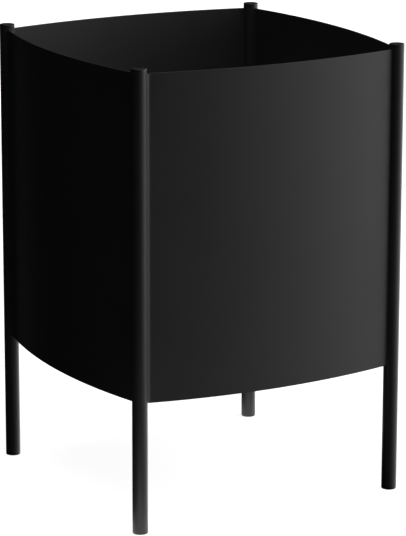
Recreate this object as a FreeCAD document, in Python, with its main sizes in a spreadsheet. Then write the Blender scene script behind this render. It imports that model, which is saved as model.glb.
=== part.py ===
"""Open-topped litter and ash bin on four legs, in millimetres.

Four tube legs stand on the corners of a square. Four sheet panels, each rolled to a shallow arc, are
welded between them and make a casing that is open at the top. Lugs on the legs carry a screwed floor
plate, and rubber buffers on that plate carry a lift-out steel liner with two drop handles.

+Z is up, +Y runs from the front panel to the back one. The origin is on the ground, midway between
the legs.
"""
import FreeCAD, Part
import Sketcher
import math
import os

from FreeCAD import Placement, Rotation, Vector

# Driving dimensions: alias, value in millimetres, what it is.
DIMENSIONS = [
    ("leg_spacing", 400.0, "between the axes of two neighbouring legs"),
    ("leg_height", 640.0, "ground to the top of a leg's cap"),
    ("leg_diameter", 21.3, "outside of the leg tube"),
    ("leg_wall", 2.0, "wall of the leg tube"),
    ("plug_depth", 16.0, "how far a cap or glide reaches into its tube"),
    ("plug_clearance", 0.1, "between a plug's ribs and the tube's bore"),
    ("plug_wall", 1.6, "wall of the hollow stem of a cap or glide"),
    ("rib_height", 0.6, "how far a plug's ribs stand out from its stem"),
    ("rib_width", 1.6, "thickness of one rib, and half the pitch of the ribs"),
    ("cap_head", 2.5, "thickness of the cap on top of a leg"),
    ("cap_edge_radius", 0.9, "rounding of the cap's top edge"),
    ("glide_head", 3.5, "thickness of the glide under a leg"),
    ("glide_chamfer", 0.8, "bevel round the underside of a glide"),
    ("rim_drop", 7.0, "top of a leg down to the rim of the casing"),
    ("casing_height", 450.0, "height of a panel"),
    ("panel_bulge", 25.0, "how far a panel bows out from the line between two leg axes"),
    ("panel_thickness", 2.0, "steel sheet of a panel"),
    ("weld_gap", 0.1, "root gap between a panel's edge and the leg that it is welded to"),
    ("floor_raise", 12.0, "bottom edge of a panel up to the underside of the floor plate"),
    ("floor_thickness", 2.0, "steel sheet of the floor plate"),
    ("floor_clearance", 1.5, "between the floor plate and the panels or the legs"),
    ("drain_diameter", 9.0, "each drain hole in the floor plate"),
    ("drain_ring_radius", 62.0, "ring of drain holes round the middle one"),
    ("lug_thickness", 4.0, "flat steel of a lug"),
    ("lug_width", 22.0, "width of a lug"),
    ("lug_reach", 40.0, "leg axis to the axis of the lug's screw"),
    ("lug_clearance", 0.5, "between a lug's back corners and the panels beside it"),
    ("screw_diameter", 6.0, "shank of a floor screw"),
    ("screw_hole_clearance", 0.3, "between the shank and its hole, on the radius"),
    ("screw_head_diameter", 10.5, "button head of a floor screw"),
    ("screw_head_height", 3.3, "height of that head"),
    ("screw_head_radius", 2.3, "rounding of that head"),
    ("screw_socket_width", 4.0, "across the flats of its hexagon socket"),
    ("screw_socket_depth", 2.0, "depth of the socket"),
    ("screw_end", 2.0, "how far the shank stands out past its nut"),
    ("nut_width", 10.0, "across the flats of a floor nut"),
    ("nut_height", 5.0, "height of a floor nut"),
    ("thread_clearance", 0.05, "between the shank and the nut, on the radius"),
    ("buffer_diameter", 26.0, "head of a rubber buffer"),
    ("buffer_height", 6.0, "height of that head above the floor plate"),
    ("buffer_neck", 8.0, "neck of a buffer, through the floor plate"),
    ("buffer_barb", 12.0, "barb of a buffer, under the floor plate"),
    ("buffer_barb_length", 4.0, "length of the barb"),
    ("buffer_taper", 1.0, "how far the barb's tip draws in from its neck"),
    ("buffer_edge_radius", 1.5, "rounding of a buffer's head"),
    ("buffer_clearance", 0.1, "between a buffer's neck and its hole, on the radius"),
    ("buffer_spacing", 230.0, "between two neighbouring buffers"),
    ("liner_clearance", 6.0, "liner's wall in from the line between two leg axes"),
    ("liner_sink", 109.0, "rim of the casing down to the top of the liner"),
    ("liner_corner", 42.0, "outside radius of the liner's corners"),
    ("liner_wall", 1.0, "steel sheet of the liner"),
    ("rim_bar_diameter", 6.0, "round bar of the hoop welded round the liner's rim"),
    ("liner_drain_diameter", 8.0, "each drain hole in the liner's base"),
    ("liner_drain_spacing", 150.0, "between two neighbouring drain holes"),
    ("wire_diameter", 6.0, "round wire of a drop handle"),
    ("wire_clearance", 0.3, "between the wire and the liner's wall"),
    ("pivot_clearance", 0.1, "between the wire and the clip round it"),
    ("wire_bend", 9.0, "radius of the wire's bends, to its centre line"),
    ("handle_width", 120.0, "between the centre lines of a handle's two sides"),
    ("handle_drop", 70.0, "pivot axis down to the centre line of the grip"),
    ("pivot_drop", 35.0, "top of the liner down to a handle's pivot axis"),
    ("pivot_end", 0.8, "how far a pivot stands out past its clip"),
    ("clip_width", 14.0, "width of a clip, along the pivot"),
    ("clip_thickness", 1.5, "steel strip of a clip"),
    ("clip_bend", 1.0, "inside radius of a clip's bends"),
    ("clip_side_gap", 1.2, "between a clip and the start of the wire's bend"),
    ("clip_flange", 12.0, "height of each of a clip's two flanges"),
    ("rivet_diameter", 4.0, "shank of a rivet"),
    ("rivet_head_diameter", 8.0, "domed head of a rivet"),
    ("rivet_head_height", 1.6, "height of that head"),
    ("rivet_head_radius", 1.4, "rounding of that head"),
    ("rivet_tail", 0.8, "thickness of a rivet's set tail"),
    ("rivet_tail_diameter", 6.0, "width of that tail"),
    ("rivet_clearance", 0.1, "between a rivet's shank and its hole, on the radius"),
]

CORNERS = {"front_left": 0, "front_right": 1, "back_right": 2, "back_left": 3}
SIDES = {"front": 0, "right": 1, "back": 2, "left": 3}
QUARTER = 90.0
UP = Vector(0, 0, 1)
NEAR = 1e-4
DRAIN_COUNT = 8
RIB_COUNT = 3

doc = FreeCAD.newDocument("bin")
sheet = doc.addObject("Spreadsheet::Sheet", "dims")
for row, (alias, value, meaning) in enumerate(DIMENSIONS, start=1):
    sheet.set(f"A{row}", alias)
    sheet.set(f"B{row}", str(value))
    sheet.set(f"C{row}", meaning)
    sheet.setAlias(f"B{row}", alias)
doc.recompute()

# Places that several pieces share, written once from the driving dimensions.
HALF_SPACING = "(dims.leg_spacing / 2)"
ARC_RADIUS = f"(({HALF_SPACING}^2 + dims.panel_bulge^2) / (2 * dims.panel_bulge))"
ARC_HALF_ANGLE = f"asin({HALF_SPACING} / {ARC_RADIUS})"
ARC_CENTRE = f"({ARC_RADIUS} - dims.panel_bulge - {HALF_SPACING})"
BORE_RADIUS = "(dims.leg_diameter / 2 - dims.leg_wall)"
CASING_BOTTOM = "(dims.leg_height - dims.rim_drop - dims.casing_height)"
FLOOR_UNDER = f"({CASING_BOTTOM} + dims.floor_raise)"
FLOOR_TOP = f"({FLOOR_UNDER} + dims.floor_thickness)"
LUG_UNDER = f"({FLOOR_UNDER} - dims.lug_thickness)"
LUG_SIDE_ANGLE = f"(45 deg + {ARC_HALF_ANGLE})"
LUG_BACK = (
    f"((dims.lug_width / 2 * cos({LUG_SIDE_ANGLE}) + dims.panel_thickness / 2 + dims.lug_clearance)"
    f" / sin({LUG_SIDE_ANGLE}))"
)
SCREW_PLACE = f"({HALF_SPACING} - dims.lug_reach / sqrt(2))"
BUFFER_PLACE = "(dims.buffer_spacing / 2)"
LEG_SEAT = "(dims.leg_diameter / 2 + dims.weld_gap)"
SCREW_HOLE = "(dims.screw_diameter / 2 + dims.screw_hole_clearance)"
LINER_UNDER = f"({FLOOR_TOP} + dims.buffer_height)"
LINER_WIDTH = "(dims.leg_spacing - 2 * dims.liner_clearance)"
LINER_HEIGHT = f"(dims.leg_height - dims.rim_drop - dims.liner_sink - {LINER_UNDER})"
LINER_INSIDE = f"({LINER_WIDTH} / 2 - dims.liner_wall)"
WIRE_RADIUS = "(dims.wire_diameter / 2)"
PIVOT_TO_WALL = f"({WIRE_RADIUS} + dims.wire_clearance)"
PIVOT_HEIGHT = f"({LINER_HEIGHT} - dims.pivot_drop)"
CLIP_BORE = f"({WIRE_RADIUS} + dims.pivot_clearance)"
CLIP_OUTSIDE = f"({CLIP_BORE} + dims.clip_thickness)"
CLIP_END = f"({CLIP_OUTSIDE} + dims.clip_flange)"
CLIP_PLACE = "(dims.handle_width / 2 + dims.wire_bend + dims.clip_side_gap + dims.clip_width / 2)"
PIVOT_REACH = f"({CLIP_PLACE} + dims.clip_width / 2 + dims.pivot_end)"
RIVET_OFFSET = f"({CLIP_OUTSIDE} + dims.clip_flange / 2)"
RIVET_HOLE = "(dims.rivet_diameter / 2 + dims.rivet_clearance)"


def size(expression):
    """The value of an expression of the sheet's cells, in millimetres."""
    value = sheet.evalExpression(expression)
    return float(getattr(value, "Value", value))


# ---------------------------------------------------------------- modelling helpers


def body(label):
    made = doc.addObject("PartDesign::Body", label)
    made.Label = label
    return made


def sketch_on(owner, role, name, lift=None):
    """A sketch on one of its body's own origin planes, lifted along its normal by an expression."""
    made = owner.newObject("Sketcher::SketchObject", name)
    plane = next(f for f in owner.Origin.OriginFeatures if f.Role == role)
    made.AttachmentSupport = [(plane, "")]
    made.MapMode = "FlatFace"
    if lift:
        made.setExpression(".AttachmentOffset.Base.z", lift)
    return made


def bound(sketch, constraint, expression):
    """Adds a dimension to a sketch and ties it to the sheet."""
    number = sketch.addConstraint(constraint)
    sketch.setExpression(f"Constraints[{number}]", expression)


def fix_point(sketch, number, point, axis, expression):
    """Ties one coordinate of a sketch's point, X for axis 0 and Y for axis 1, to an expression."""
    kind = ("DistanceX", "DistanceY")[axis]
    bound(sketch, Sketcher.Constraint(kind, -1, 1, number, point, size(expression)), expression)


def circle(sketch, radius, x="0", y="0"):
    """A circle whose radius and centre are expressions."""
    centre = Vector(size(x), size(y), 0)
    number = sketch.addGeometry(Part.Circle(centre, UP, size(radius)), False)
    bound(sketch, Sketcher.Constraint("Radius", number, size(radius)), radius)
    for axis, place in enumerate((x, y)):
        fix_point(sketch, number, 3, axis, place)


def outline(sketch, points):
    """A closed chain of straight edges whose corners are pairs of expressions."""
    values = [Vector(size(x), size(y), 0) for x, y in points]
    count = len(points)
    edges = []
    for i in range(count):
        edge = Part.LineSegment(values[i], values[(i + 1) % count])
        edges.append(sketch.addGeometry(edge, False))
    for i, corner in enumerate(points):
        following = edges[(i + 1) % count]
        sketch.addConstraint(Sketcher.Constraint("Coincident", edges[i], 2, following, 1))
        for axis, place in enumerate(corner):
            fix_point(sketch, edges[i], 1, axis, place)


def rounded_runs(sketch, corners, bend, closed=False):
    """Runs along X or Y through corners given as expressions, joined by arcs of one radius."""
    values = [Vector(size(x), size(y), 0) for x, y in corners]
    count = len(corners)
    spans = [(i, (i + 1) % count) for i in range(count if closed else count - 1)]
    ways = [(values[b] - values[a]).normalize() for a, b in spans]
    radius, last = size(bend), len(spans) - 1
    runs = []
    for i, (a, b) in enumerate(spans):
        start = values[a] + ways[i] * (radius if closed or i > 0 else 0.0)
        stop = values[b] - ways[i] * (radius if closed or i < last else 0.0)
        run = sketch.addGeometry(Part.LineSegment(start, stop), False)
        across = 1 if abs(ways[i].x) > abs(ways[i].y) else 0
        sketch.addConstraint(Sketcher.Constraint(("Vertical", "Horizontal")[across], run))
        fix_point(sketch, run, 1, across, corners[a][across])
        if not closed and i == 0:
            fix_point(sketch, run, 1, 1 - across, corners[a][1 - across])
        if not closed and i == last:
            fix_point(sketch, run, 2, 1 - across, corners[b][1 - across])
        runs.append(run)
    for i in range(len(spans) if closed else last):
        k = (i + 1) % len(spans)
        arc, left = corner_arc(sketch, values[spans[i][1]], ways[i], ways[k], radius)
        entry, leave = (1, 2) if left else (2, 1)
        sketch.addConstraint(Sketcher.Constraint("Tangent", runs[i], 2, arc, entry))
        sketch.addConstraint(Sketcher.Constraint("Tangent", arc, leave, runs[k], 1))
        bound(sketch, Sketcher.Constraint("Radius", arc, radius), bend)


def corner_arc(sketch, corner, way_in, way_out, radius):
    """Adds the arc that rounds a square corner, and says if the path turns left there."""
    left = way_in.cross(way_out).z > 0
    entry, leave = corner - way_in * radius, corner + way_out * radius
    centre = entry + way_out * radius
    first = (entry if left else leave) - centre
    angle = math.atan2(first.y, first.x)
    quarter_turn = Part.ArcOfCircle(Part.Circle(centre, UP, radius), angle, angle + math.pi / 2)
    return sketch.addGeometry(quarter_turn, False), left


def rounded_square(sketch, width, corner):
    """A square about the origin with round corners."""
    half = f"{width} / 2"
    square = [(f"-{half}", f"-{half}"), (half, f"-{half}"), (half, half), (f"-{half}", half)]
    rounded_runs(sketch, square, corner, closed=True)


def pad(owner, profile, length, name="pad", both_ways=False):
    made = owner.newObject("PartDesign::Pad", name)
    made.Profile = profile
    made.setExpression("Length", length)
    made.Midplane = both_ways
    doc.recompute()
    return made


def pocket(owner, profile, name, upward=False, both_ways=False):
    """Cuts right through, along the sketch's normal or against it or both, and checks that it cut."""
    before = owner.Shape.Volume
    made = owner.newObject("PartDesign::Pocket", name)
    made.Profile = profile
    made.Type = "ThroughAll"
    made.Reversed = upward
    made.Midplane = both_ways
    doc.recompute()
    if not owner.Shape.Volume < before:
        raise ValueError(f"{name} cuts nothing from {owner.Label}")
    return made


def revolve(owner, profile, name="turned"):
    """Turns a profile drawn on the body's XZ plane round the body's Z axis."""
    made = owner.newObject("PartDesign::Revolution", name)
    made.Profile = profile
    made.ReferenceAxis = (profile, ["V_Axis"])
    made.Angle = 360.0
    doc.recompute()
    return made


def round_edges(owner, feature, radius, chosen, name, kind="PartDesign::Fillet"):
    """Rounds or bevels the edges of a feature that the test picks, and checks that there are some."""
    names = [f"Edge{i}" for i, e in enumerate(feature.Shape.Edges, start=1) if chosen(e)]
    if not names:
        raise ValueError(f"{name} finds no edge on {owner.Label}")
    made = owner.newObject(kind, name)
    made.Base = (feature, names)
    made.setExpression("Radius" if kind.endswith("Fillet") else "Size", radius)
    doc.recompute()
    return made


def level_at(height):
    """A test for edges that lie flat at a height, given as an expression."""
    level = size(height)
    return lambda e: abs(e.BoundBox.ZMin - level) < NEAR and abs(e.BoundBox.ZMax - level) < NEAR


def runs_along_y(places):
    """A test for edges along Y at places given as X and Z expressions, above the X axis and below."""
    spots = [(size(x), size(z)) for x, z in places]

    def chosen(edge):
        box = edge.BoundBox
        thin = box.XLength < NEAR and box.ZLength < NEAR
        return thin and any(
            abs(box.XMin - x) < NEAR and abs(abs(box.ZMin) - z) < NEAR for x, z in spots
        )

    return chosen


def place(piece, x="0", y="0", z="0", turn=0.0):
    """Puts a piece at three expressions, turned about Z."""
    piece.Placement = Placement(Vector(0, 0, 0), Rotation(UP, turn))
    for axis, value in (("x", x), ("y", y), ("z", z)):
        piece.setExpression(f".Placement.Base.{axis}", value)


def corner_place(k, reach):
    """X and Y at corner k, both at one reach from the middle, counted from the front left corner."""
    return f"{'' if k in (1, 2) else '-'}{reach}", f"{'' if k in (2, 3) else '-'}{reach}"


# ---------------------------------------------------------------- legs


def make_leg(corner, k):
    leg = body(f"leg_{corner}")
    section = sketch_on(leg, "XY_Plane", f"section_{corner}")
    circle(section, "dims.leg_diameter / 2")
    circle(section, BORE_RADIUS)
    pad(leg, section, "dims.leg_height - dims.cap_head - dims.glide_head")
    place(leg, *corner_place(k, HALF_SPACING), "dims.glide_head")
    return leg


def ribbed_stem(head_top, head_under):
    """Half outline of a plug: a disc between two heights, and a hollow ribbed stem below it.

    A cap has its stem down into the tube. A glide is the same plug upside down.
    """
    rib = f"({BORE_RADIUS} - dims.plug_clearance)"
    stem = f"({rib} - dims.rib_height)"
    bore = f"({stem} - dims.plug_wall)"
    points = [("0", head_top), ("dims.leg_diameter / 2", head_top)]
    points += [("dims.leg_diameter / 2", head_under), (stem, head_under)]
    for i in range(RIB_COUNT):
        top = f"({head_under} - {2 * i + 1} * dims.rib_width)"
        foot = f"({top} - dims.rib_width)"
        points += [(stem, top), (rib, top), (stem, foot)]
    points += [(stem, f"{head_under} - dims.plug_depth"), (bore, f"{head_under} - dims.plug_depth")]
    points += [(bore, head_under), ("0", head_under)]
    return points


def make_cap(corner, k):
    cap = body(f"cap_{corner}")
    profile = sketch_on(cap, "XZ_Plane", f"cap_profile_{corner}")
    outline(profile, ribbed_stem("dims.cap_head", "0"))
    turned = revolve(cap, profile)
    round_edges(cap, turned, "dims.cap_edge_radius", level_at("dims.cap_head"), "soft_edge")
    place(cap, *corner_place(k, HALF_SPACING), "dims.leg_height - dims.cap_head")
    return cap


def make_glide(corner, k):
    glide = body(f"glide_{corner}")
    profile = sketch_on(glide, "XZ_Plane", f"glide_profile_{corner}")
    outline(profile, [(x, f"-({z})") for x, z in ribbed_stem("dims.glide_head", "0")])
    turned = revolve(glide, profile)
    foot = level_at("-dims.glide_head")
    round_edges(glide, turned, "dims.glide_chamfer", foot, "bevel", "PartDesign::Chamfer")
    place(glide, *corner_place(k, HALF_SPACING), "dims.glide_head")
    return glide


# ---------------------------------------------------------------- casing


def arc_band(sketch, outer, inner):
    """Two arcs about one centre on the Y axis, closed by lines that run through the leg axes.

    The chord between the leg axes is the X axis, and the arcs bow towards -Y.
    """
    rise = size(ARC_RADIUS) - size("dims.panel_bulge")
    half = math.asin(size("dims.leg_spacing") / 2 / size(ARC_RADIUS))
    centre = Vector(0, rise, 0)
    for number, radius in enumerate((outer, inner)):
        about = Part.Circle(centre, UP, size(radius))
        start, stop = -math.pi / 2 - half, -math.pi / 2 + half
        sketch.addGeometry(Part.ArcOfCircle(about, start, stop), False)
        bound(sketch, Sketcher.Constraint("Radius", number, size(radius)), radius)
    long_arc, short_arc = sketch.Geometry
    ends = [(long_arc.StartPoint, short_arc.StartPoint), (long_arc.EndPoint, short_arc.EndPoint)]
    for number, (first, second) in enumerate(ends):
        line, point = number + 2, number + 1
        sketch.addGeometry(Part.LineSegment(first, second), False)
        sketch.addConstraint(Sketcher.Constraint("Coincident", 0, point, line, 1))
        sketch.addConstraint(Sketcher.Constraint("Coincident", 1, point, line, 2))
        sketch.addConstraint(Sketcher.Constraint("PointOnObject", 0, 3, line))
    sketch.addConstraint(Sketcher.Constraint("Coincident", 0, 3, 1, 3))
    sketch.addConstraint(Sketcher.Constraint("PointOnObject", 0, 3, -2))
    fix_point(sketch, 0, 3, 1, f"{ARC_RADIUS} - dims.panel_bulge")
    sketch.addConstraint(Sketcher.Constraint("Symmetric", 0, 1, 0, 2, -2))
    bound(sketch, Sketcher.Constraint("Angle", 0, 2 * half), f"2 * {ARC_HALF_ANGLE}")


def make_panel(side, k):
    panel = body(f"panel_{side}")
    section = sketch_on(panel, "XY_Plane", f"arc_{side}")
    half = "dims.panel_thickness / 2"
    arc_band(section, f"{ARC_RADIUS} + {half}", f"{ARC_RADIUS} - {half}")
    pad(panel, section, "dims.casing_height")
    seats = sketch_on(panel, "XY_Plane", f"leg_seats_{side}")
    for end in (f"-{HALF_SPACING}", HALF_SPACING):
        circle(seats, LEG_SEAT, end)
    pocket(panel, seats, f"leg_seat_cut_{side}", upward=True)
    out = HALF_SPACING if k in (1, 2) else f"-{HALF_SPACING}"
    spot = ("0", out) if k % 2 == 0 else (out, "0")
    place(panel, *spot, CASING_BOTTOM, turn=QUARTER * k)
    return panel


# ---------------------------------------------------------------- floor


def make_lug(corner, k):
    """A flat tab that runs from a leg towards the middle, with a hole for the floor screw."""
    lug = body(f"lug_{corner}")
    section = sketch_on(lug, "XY_Plane", f"tab_{corner}")
    reach, half = size("dims.lug_reach"), size("dims.lug_width") / 2
    section.addGeometry(Part.LineSegment(Vector(0, -half, 0), Vector(reach, -half, 0)), False)
    about = Part.Circle(Vector(reach, 0, 0), UP, half)
    section.addGeometry(Part.ArcOfCircle(about, -math.pi / 2, math.pi / 2), False)
    section.addGeometry(Part.LineSegment(Vector(reach, half, 0), Vector(0, half, 0)), False)
    section.addGeometry(Part.LineSegment(Vector(0, half, 0), Vector(0, -half, 0)), False)
    joins = [("Tangent", 0, 2, 1, 1), ("Tangent", 1, 2, 2, 1), ("Coincident", 2, 2, 3, 1)]
    joins += [("Coincident", 3, 2, 0, 1), ("Vertical", 3), ("Horizontal", 0)]
    joins += [("PointOnObject", 0, 1, -2)]
    for join in joins:
        section.addConstraint(Sketcher.Constraint(*join))
    bound(section, Sketcher.Constraint("Radius", 1, half), "dims.lug_width / 2")
    fix_point(section, 1, 3, 0, "dims.lug_reach")
    fix_point(section, 1, 3, 1, "0")
    pad(lug, section, "dims.lug_thickness")
    seat = sketch_on(lug, "XY_Plane", f"lug_holes_{corner}")
    circle(seat, LEG_SEAT)
    circle(seat, SCREW_HOLE, "dims.lug_reach")
    pocket(lug, seat, f"lug_cut_{corner}", upward=True)
    behind = sketch_on(lug, "XY_Plane", f"lug_back_{corner}")
    wide, back = "dims.lug_width", "-dims.lug_width"
    outline(behind, [(back, back), (LUG_BACK, back), (LUG_BACK, wide), (back, wide)])
    pocket(lug, behind, f"lug_trim_{corner}", upward=True)
    place(lug, *corner_place(k, HALF_SPACING), LUG_UNDER, turn=QUARTER * k + QUARTER / 2)
    return lug


def plate_outline(edge):
    """Four arcs inside the panels, one after the other, that meet at the legs."""
    radius = f"{ARC_RADIUS} - dims.panel_thickness / 2 - dims.floor_clearance"
    value, away = size(radius), size(ARC_CENTRE)
    corner = (math.sqrt(2 * value**2 - away**2) - away) / 2
    half = math.atan2(corner, corner + away)
    for k in range(4):
        middle = math.radians(QUARTER * k) - math.pi / 2
        centre = Vector(-away * math.cos(middle), -away * math.sin(middle), 0)
        about = Part.Circle(centre, UP, value)
        edge.addGeometry(Part.ArcOfCircle(about, middle - half, middle + half), False)
    for k in range(4):
        edge.addConstraint(Sketcher.Constraint("Coincident", k, 2, (k + 1) % 4, 1))
        bound(edge, Sketcher.Constraint("Radius", k, value), radius)
        sign = "-" if k in (1, 2) else ""
        fix_point(edge, k, 3, k % 2, "0")
        fix_point(edge, k, 3, 1 - k % 2, f"{sign}{ARC_CENTRE}")


def make_floor_plate():
    """The plate inside the casing, notched round the legs, with drain and fixing holes."""
    plate = body("floor_plate")
    edge = sketch_on(plate, "XY_Plane", "plate_outline")
    plate_outline(edge)
    pad(plate, edge, "dims.floor_thickness")
    holes = sketch_on(plate, "XY_Plane", "plate_holes")
    circle(holes, "dims.drain_diameter / 2")
    for k in range(4):
        notch = "dims.leg_diameter / 2 + dims.floor_clearance"
        circle(holes, notch, *corner_place(k, HALF_SPACING))
        circle(holes, SCREW_HOLE, *corner_place(k, SCREW_PLACE))
        neck_hole = "dims.buffer_neck / 2 + dims.buffer_clearance"
        circle(holes, neck_hole, *corner_place(k, BUFFER_PLACE))
    pocket(plate, holes, "plate_hole_cut", upward=True)
    drain = sketch_on(plate, "XY_Plane", "drain_hole")
    circle(drain, "dims.drain_diameter / 2", "dims.drain_ring_radius")
    cut = pocket(plate, drain, "drain_cut", upward=True)
    ring = plate.newObject("PartDesign::PolarPattern", "drain_ring")
    ring.Originals = [cut]
    ring.Axis = (drain, ["N_Axis"])
    ring.Angle = 360.0
    ring.Occurrences = DRAIN_COUNT
    plate.Tip = ring
    place(plate, z=FLOOR_UNDER)
    return plate


def make_floor_screw(corner, k):
    """A button-head screw, its head on the floor plate and its shank down through the lug's nut."""
    screw = body(f"floor_screw_{corner}")
    grip = "dims.floor_thickness + dims.lug_thickness + dims.nut_height + dims.screw_end"
    shank = sketch_on(screw, "XY_Plane", f"shank_{corner}")
    circle(shank, "dims.screw_diameter / 2")
    down = pad(screw, shank, grip, "shank_pad")
    down.Reversed = True
    head = sketch_on(screw, "XY_Plane", f"head_{corner}")
    circle(head, "dims.screw_head_diameter / 2")
    top = pad(screw, head, "dims.screw_head_height", "head_pad")
    rim = level_at("dims.screw_head_height")
    round_edges(screw, top, "dims.screw_head_radius", rim, "dome")
    socket_floor = "dims.screw_head_height - dims.screw_socket_depth"
    socket = sketch_on(screw, "XY_Plane", f"socket_{corner}", socket_floor)
    hexagon(socket, "dims.screw_socket_width")
    pocket(screw, socket, f"socket_cut_{corner}", upward=True)
    place(screw, *corner_place(k, SCREW_PLACE), FLOOR_TOP)
    return screw


def hexagon(sketch, width):
    """A regular hexagon about the origin, given its width across the flats."""
    reach = f"{width} / 2 / cos(30)"
    angles = [30 + 60 * i for i in range(6)]
    outline(sketch, [(f"{reach} * cos({angle})", f"{reach} * sin({angle})") for angle in angles])


def make_floor_nut(corner, k):
    nut = body(f"floor_nut_{corner}")
    section = sketch_on(nut, "XY_Plane", f"nut_section_{corner}")
    hexagon(section, "dims.nut_width")
    circle(section, "dims.screw_diameter / 2 + dims.thread_clearance")
    pad(nut, section, "dims.nut_height")
    place(nut, *corner_place(k, SCREW_PLACE), f"{LUG_UNDER} - dims.nut_height")
    return nut


def make_buffer(corner, k):
    """A rubber push-in buffer: the head on the plate, the neck through it and a barb below."""
    rubber = body(f"buffer_{corner}")
    profile = sketch_on(rubber, "XZ_Plane", f"buffer_profile_{corner}")
    head, neck, barb = "dims.buffer_diameter / 2", "dims.buffer_neck / 2", "dims.buffer_barb / 2"
    under = "(-dims.floor_thickness - dims.buffer_clearance)"
    tip = f"{under} - dims.buffer_barb_length"
    points = [("0", "dims.buffer_height"), (head, "dims.buffer_height"), (head, "0"), (neck, "0")]
    points += [(neck, under), (barb, under), (f"{neck} - dims.buffer_taper", tip), ("0", tip)]
    outline(profile, points)
    turned = revolve(rubber, profile)
    rim = level_at("dims.buffer_height")
    round_edges(rubber, turned, "dims.buffer_edge_radius", rim, "soft_head")
    place(rubber, *corner_place(k, BUFFER_PLACE), FLOOR_TOP)
    return rubber


# ---------------------------------------------------------------- liner


def make_liner_walls():
    """The walls of the lift-out bucket: one sheet folded round to a square with round corners."""
    walls = body("liner_walls")
    section = sketch_on(walls, "XY_Plane", "liner_section")
    rounded_square(section, LINER_WIDTH, "dims.liner_corner")
    rounded_square(section, f"(2 * {LINER_INSIDE})", "(dims.liner_corner - dims.liner_wall)")
    pad(walls, section, LINER_HEIGHT)
    rivets = sketch_on(walls, "YZ_Plane", "liner_rivet_holes")
    for along in ("-", ""):
        for height in ("-", "+"):
            circle(rivets, RIVET_HOLE, f"{along}{CLIP_PLACE}", f"{PIVOT_HEIGHT} {height} {RIVET_OFFSET}")
    pocket(walls, rivets, "liner_rivet_cut", both_ways=True)
    place(walls, z=LINER_UNDER)
    return walls


def make_liner_base():
    """The base welded in between the walls, level with their bottom edge, with four drain holes."""
    base = body("liner_base")
    section = sketch_on(base, "XY_Plane", "base_section")
    width = f"(2 * ({LINER_INSIDE} - dims.weld_gap))"
    rounded_square(section, width, "(dims.liner_corner - dims.liner_wall - dims.weld_gap)")
    for k in range(4):
        drain_place = corner_place(k, "(dims.liner_drain_spacing / 2)")
        circle(section, "dims.liner_drain_diameter / 2", *drain_place)
    pad(base, section, "dims.liner_wall")
    place(base, z=LINER_UNDER)
    return base


def make_liner_rim():
    """A hoop of round bar welded round the outside of the walls, level with their top edge."""
    rim = body("liner_rim")
    set_out = "(dims.rim_bar_diameter / 2 + dims.weld_gap)"
    width = f"({LINER_WIDTH} + 2 * {set_out})"
    path = sketch_on(rim, "XY_Plane", "hoop_path")
    rounded_square(path, width, f"(dims.liner_corner + {set_out})")
    section = sketch_on(rim, "XZ_Plane", "hoop_section")
    circle(section, "dims.rim_bar_diameter / 2", f"{width} / 2")
    hoop = rim.newObject("PartDesign::AdditivePipe", "hoop")
    hoop.Profile = section
    hoop.Spine = path
    doc.recompute()
    place(rim, z=f"{LINER_UNDER} + {LINER_HEIGHT} - dims.rim_bar_diameter / 2")
    return rim


def on_side_wall(piece, side, along="0"):
    """Puts a piece drawn about a pivot axis, for the right-hand wall, on one of the two side walls."""
    sign, turn = ("-", 2 * QUARTER) if side == "left" else ("", 0.0)
    reach = f"{sign}({LINER_INSIDE} - {PIVOT_TO_WALL})"
    place(piece, reach, along, f"{LINER_UNDER} + {PIVOT_HEIGHT}", turn)


def make_handle(side):
    """A drop handle of round wire that hangs down: a grip, two sides and two pivots turned outwards."""
    handle = body(f"handle_{side}")
    half, grip = "dims.handle_width / 2", "-dims.handle_drop"
    left = [(f"-{PIVOT_REACH}", "0"), (f"-{half}", "0"), (f"-{half}", grip)]
    right = [(half, grip), (half, "0"), (PIVOT_REACH, "0")]
    path = sketch_on(handle, "YZ_Plane", f"wire_path_{side}")
    rounded_runs(path, left + right, "dims.wire_bend")
    section = sketch_on(handle, "XZ_Plane", f"wire_section_{side}", PIVOT_REACH)
    circle(section, WIRE_RADIUS)
    wire = handle.newObject("PartDesign::AdditivePipe", f"wire_{side}")
    wire.Profile = section
    wire.Spine = path
    doc.recompute()
    on_side_wall(handle, side)
    return handle


def make_clip(side, end):
    """A strip bent over a pivot, with one flange above it and one below, each with a rivet hole."""
    clip = body(f"clip_{side}_{end}")
    wall, face = PIVOT_TO_WALL, f"({PIVOT_TO_WALL} - dims.clip_thickness)"
    upper = [(f"-{CLIP_BORE}", CLIP_BORE), (wall, CLIP_BORE), (wall, CLIP_END), (face, CLIP_END)]
    upper += [(face, CLIP_OUTSIDE), (f"-{CLIP_OUTSIDE}", CLIP_OUTSIDE)]
    lower = [(x, f"-{z}") for x, z in reversed(upper)]
    section = sketch_on(clip, "XZ_Plane", f"strip_{side}_{end}")
    outline(section, upper + lower)
    strip = pad(clip, section, "dims.clip_width", both_ways=True)
    inner = [(f"-{CLIP_BORE}", CLIP_BORE), (face, CLIP_OUTSIDE)]
    outer = [(f"-{CLIP_OUTSIDE}", CLIP_OUTSIDE), (wall, CLIP_BORE)]
    bent = round_edges(clip, strip, "dims.clip_bend", runs_along_y(inner), "inner_bends")
    outer_radius = "dims.clip_bend + dims.clip_thickness"
    round_edges(clip, bent, outer_radius, runs_along_y(outer), "outer_bends")
    holes = sketch_on(clip, "YZ_Plane", f"clip_holes_{side}_{end}")
    for height in (f"-{RIVET_OFFSET}", RIVET_OFFSET):
        circle(holes, RIVET_HOLE, "0", height)
    pocket(clip, holes, f"clip_hole_cut_{side}_{end}", both_ways=True)
    sign = "-" if end == "front" else ""
    on_side_wall(clip, side, along=f"{sign}{CLIP_PLACE}")
    return clip


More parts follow.
